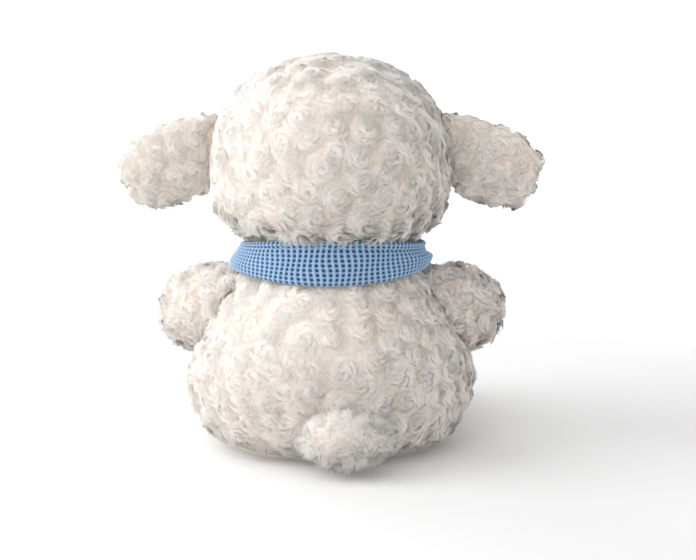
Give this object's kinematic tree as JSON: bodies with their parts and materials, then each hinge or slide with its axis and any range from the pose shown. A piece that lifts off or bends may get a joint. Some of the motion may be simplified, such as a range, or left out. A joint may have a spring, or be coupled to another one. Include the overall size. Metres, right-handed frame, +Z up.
{
  "type": "plush sheep",
  "caption": "Seated plush sheep with curly pile, drooping ears, stub limbs, a tuft tail and a knitted scarf knotted in front.",
  "frame": {"origin": "middle of the seat panel's underside, on the surface that the sheep sits on", "axes": "+Z up through the head, -Y out of the face, +X to the sheep's left"},
  "size_m": [0.243, 0.2052, 0.225],
  "materials": {
    "curly_wool_plush": "long curly pile in rosettes",
    "tail_tuft_plush": "long fine pile",
    "short_pile_plush": "short pile",
    "ear_lining_plush": "short pile",
    "seat_cloth": "plain woven cloth",
    "polyester_filling": "loose fibre",
    "pellet_bag_cloth": "closely woven bag of pellets",
    "eye_plastic": "glossy",
    "washer_plastic": "plain",
    "nose_thread": "stitched thread",
    "sewing_thread": "twisted thread",
    "scarf_knit": "ribbed knit"
  },
  "bodies": {
    "body": {"body_skin": "curly_wool_plush", "base_panel": "seat_cloth", "body_stuffing": "polyester_filling", "pellet_bag": "pellet_bag_cloth", "neck_thread": "sewing_thread"},
    "head": {"head_skin": "curly_wool_plush", "head_stuffing": "polyester_filling", "face_panel": "short_pile_plush", "muzzle": "short_pile_plush", "nose": "nose_thread", "mouth_stitch": "nose_thread", "eye_left": "eye_plastic", "eye_right": "eye_plastic", "eye_washer_left": "washer_plastic", "eye_washer_right": "washer_plastic"},
    "ear_left": {"ear_left_skin": "curly_wool_plush", "ear_left_stuffing": "polyester_filling", "ear_left_lining": "ear_lining_plush"},
    "arm_left": {"arm_left_skin": "curly_wool_plush", "arm_left_stuffing": "polyester_filling"},
    "leg_left": {"leg_left_skin": "curly_wool_plush", "leg_left_stuffing": "polyester_filling", "sole_left": "short_pile_plush"},
    "ear_right": {"ear_right_skin": "curly_wool_plush", "ear_right_stuffing": "polyester_filling", "ear_right_lining": "ear_lining_plush"},
    "arm_right": {"arm_right_skin": "curly_wool_plush", "arm_right_stuffing": "polyester_filling"},
    "leg_right": {"leg_right_skin": "curly_wool_plush", "leg_right_stuffing": "polyester_filling", "sole_right": "short_pile_plush"},
    "tail": {"tail_skin": "tail_tuft_plush", "tail_stuffing": "polyester_filling"},
    "scarf": {"scarf_band": "scarf_knit", "scarf_knot": "scarf_knit"},
    "scarf_end_left": {"scarf_end_left": "scarf_knit"},
    "scarf_end_right": {"scarf_end_right": "scarf_knit"}
  },
  "joints": [
    {"name": "head_turn", "type": "hinge", "parent": "body", "child": "head", "pos_m": [0, 0, 0.121], "axis": [0, 0, 1], "range_deg": [-20, 20], "stiffness_Nm_per_rad": 0.3},
    {"name": "ear_left_swing", "type": "hinge", "parent": "head", "child": "ear_left", "pos_m": [0.06953, 0, 0.17076], "axis": [0.1197, 0, -0.9928], "range_deg": [-20, 30], "stiffness_Nm_per_rad": 0.05},
    {"name": "arm_left_raise", "type": "hinge", "parent": "body", "child": "arm_left", "pos_m": [0.05337, 0.01232, 0.101], "axis": [0.225, -0.9744, 0], "range_deg": [0, 40], "stiffness_Nm_per_rad": 0.2},
    {"name": "leg_left_raise", "type": "hinge", "parent": "body", "child": "leg_left", "pos_m": [0.035, -0.06841, 0.0465], "axis": [-1, 0, 0], "range_deg": [0, 35], "stiffness_Nm_per_rad": 0.2},
    {"name": "ear_right_swing", "type": "hinge", "parent": "head", "child": "ear_right", "pos_m": [-0.06953, 0, 0.17076], "axis": [0.1197, 0, 0.9928], "range_deg": [-20, 30], "stiffness_Nm_per_rad": 0.05},
    {"name": "arm_right_raise", "type": "hinge", "parent": "body", "child": "arm_right", "pos_m": [-0.05337, 0.01232, 0.101], "axis": [0.225, 0.9744, 0], "range_deg": [0, 40], "stiffness_Nm_per_rad": 0.2},
    {"name": "leg_right_raise", "type": "hinge", "parent": "body", "child": "leg_right", "pos_m": [-0.035, -0.06841, 0.0465], "axis": [-1, 0, 0], "range_deg": [0, 35], "stiffness_Nm_per_rad": 0.2},
    {"name": "tail_raise", "type": "hinge", "parent": "body", "child": "tail", "pos_m": [-0.009, 0.07312, 0.0341], "axis": [1, 0, 0], "range_deg": [0, 30], "stiffness_Nm_per_rad": 0.1},
    {"name": "scarf_turn", "type": "hinge", "parent": "body", "child": "scarf", "pos_m": [0, 0, 0.112], "axis": [0, 0, 1], "range_deg": [-15, 15]},
    {"name": "scarf_end_left_swing", "type": "hinge", "parent": "scarf", "child": "scarf_end_left", "pos_m": [0.0055, -0.06475, 0.0995], "axis": [-1, 0, 0], "range_deg": [0, 70]},
    {"name": "scarf_end_right_swing", "type": "hinge", "parent": "scarf", "child": "scarf_end_right", "pos_m": [-0.0055, -0.06475, 0.0995], "axis": [-1, 0, 0], "range_deg": [0, 70]}
  ]
}
